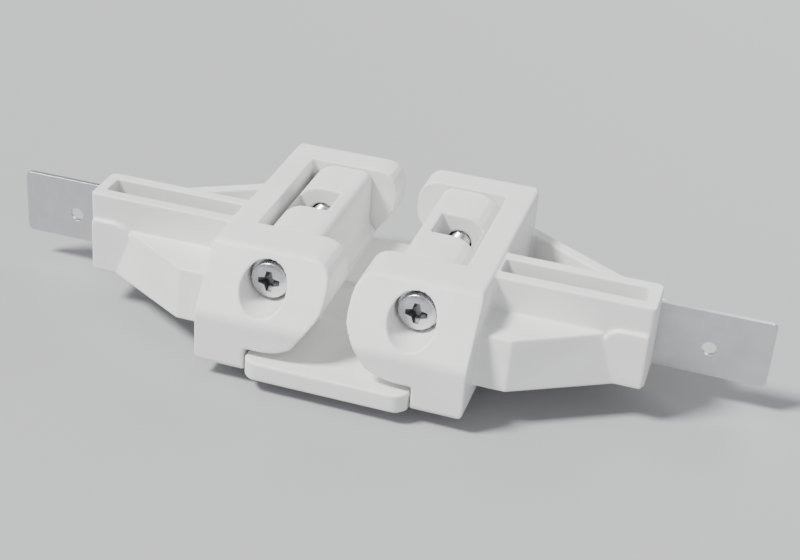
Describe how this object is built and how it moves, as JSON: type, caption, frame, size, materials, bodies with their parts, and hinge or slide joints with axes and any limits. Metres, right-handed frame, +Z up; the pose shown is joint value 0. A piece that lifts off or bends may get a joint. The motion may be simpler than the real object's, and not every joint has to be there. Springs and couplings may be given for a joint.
{
  "type": "sliding door roller",
  "caption": "Sliding door roller: a moulded carriage with adjustable wheels between two winged housings, each with a screw and a flat fixing strip.",
  "frame": {"origin": "middle of the underside of the whole roller's box, level with the bottom of the wheels", "axes": "+X along the strips to the right, +Y from the screw heads to the back, +Z up"},
  "size_m": [0.1448, 0.0544, 0.0236],
  "materials": {
    "white_nylon": "fine moulded texture",
    "acetal": "smooth",
    "strip_steel": "satin",
    "zinc": "zinc plated",
    "spring_steel": "ground"
  },
  "bodies": {
    "carriage": {"carriage": "white_nylon", "left_housing": "white_nylon", "left_strip": "strip_steel", "left_strip_rivet_inner": "zinc", "left_strip_rivet_outer": "zinc", "left_screw_washer": "zinc", "right_housing": "white_nylon", "right_strip": "strip_steel", "right_strip_rivet_inner": "zinc", "right_strip_rivet_outer": "zinc", "right_screw_washer": "zinc"},
    "left_screw": {"left_screw": "zinc", "left_screw_clip": "spring_steel"},
    "left_nut": {"left_wedge_nut": "zinc"},
    "left_carrier": {"left_wheel_carrier": "acetal", "left_axle": "spring_steel", "left_axle_clip": "spring_steel", "left_bearing_inner": "spring_steel"},
    "left_wheel": {"left_wheel_tyre": "acetal", "left_bearing_outer": "spring_steel", "left_bearing_cage": "spring_steel"},
    "right_screw": {"right_screw": "zinc", "right_screw_clip": "spring_steel"},
    "right_nut": {"right_wedge_nut": "zinc"},
    "right_carrier": {"right_wheel_carrier": "acetal", "right_axle": "spring_steel", "right_axle_clip": "spring_steel", "right_bearing_inner": "spring_steel"},
    "right_wheel": {"right_wheel_tyre": "acetal", "right_bearing_outer": "spring_steel", "right_bearing_cage": "spring_steel"}
  },
  "joints": [
    {"name": "left_screw_turn", "type": "hinge", "parent": "carriage", "child": "left_screw", "pos_m": [-0.0135, -0.01865, 0.0178], "axis": [0, 1, 0], "range_deg": [0, 1801]},
    {"name": "left_nut_slide", "type": "slide", "parent": "carriage", "child": "left_nut", "axis": [0, -1, 0], "range_m": [0, 0.0035]},
    {"name": "left_carrier_slide", "type": "slide", "parent": "carriage", "child": "left_carrier", "axis": [0, 0, -1], "range_m": [0, 0.0018]},
    {"name": "left_wheel_spin", "type": "hinge", "parent": "left_carrier", "child": "left_wheel", "pos_m": [-0.0129, 0.00595, 0.006], "axis": [0, 1, 0], "continuous": true},
    {"name": "right_screw_turn", "type": "hinge", "parent": "carriage", "child": "right_screw", "pos_m": [0.0135, -0.01865, 0.0178], "axis": [0, 1, 0], "range_deg": [0, 1801]},
    {"name": "right_nut_slide", "type": "slide", "parent": "carriage", "child": "right_nut", "axis": [0, -1, 0], "range_m": [0, 0.0035]},
    {"name": "right_carrier_slide", "type": "slide", "parent": "carriage", "child": "right_carrier", "axis": [0, 0, -1], "range_m": [0, 0.0018]},
    {"name": "right_wheel_spin", "type": "hinge", "parent": "right_carrier", "child": "right_wheel", "pos_m": [0.0129, 0.00595, 0.006], "axis": [0, 1, 0], "continuous": true}
  ],
  "couplings": [
    {"joint": "left_screw_turn", "follows": "left_nut_slide", "rad_per_m": 8976},
    {"joint": "left_carrier_slide", "follows": "left_nut_slide", "ratio": 0.5},
    {"joint": "right_screw_turn", "follows": "right_nut_slide", "rad_per_m": 8976},
    {"joint": "right_carrier_slide", "follows": "right_nut_slide", "ratio": 0.5}
  ]
}
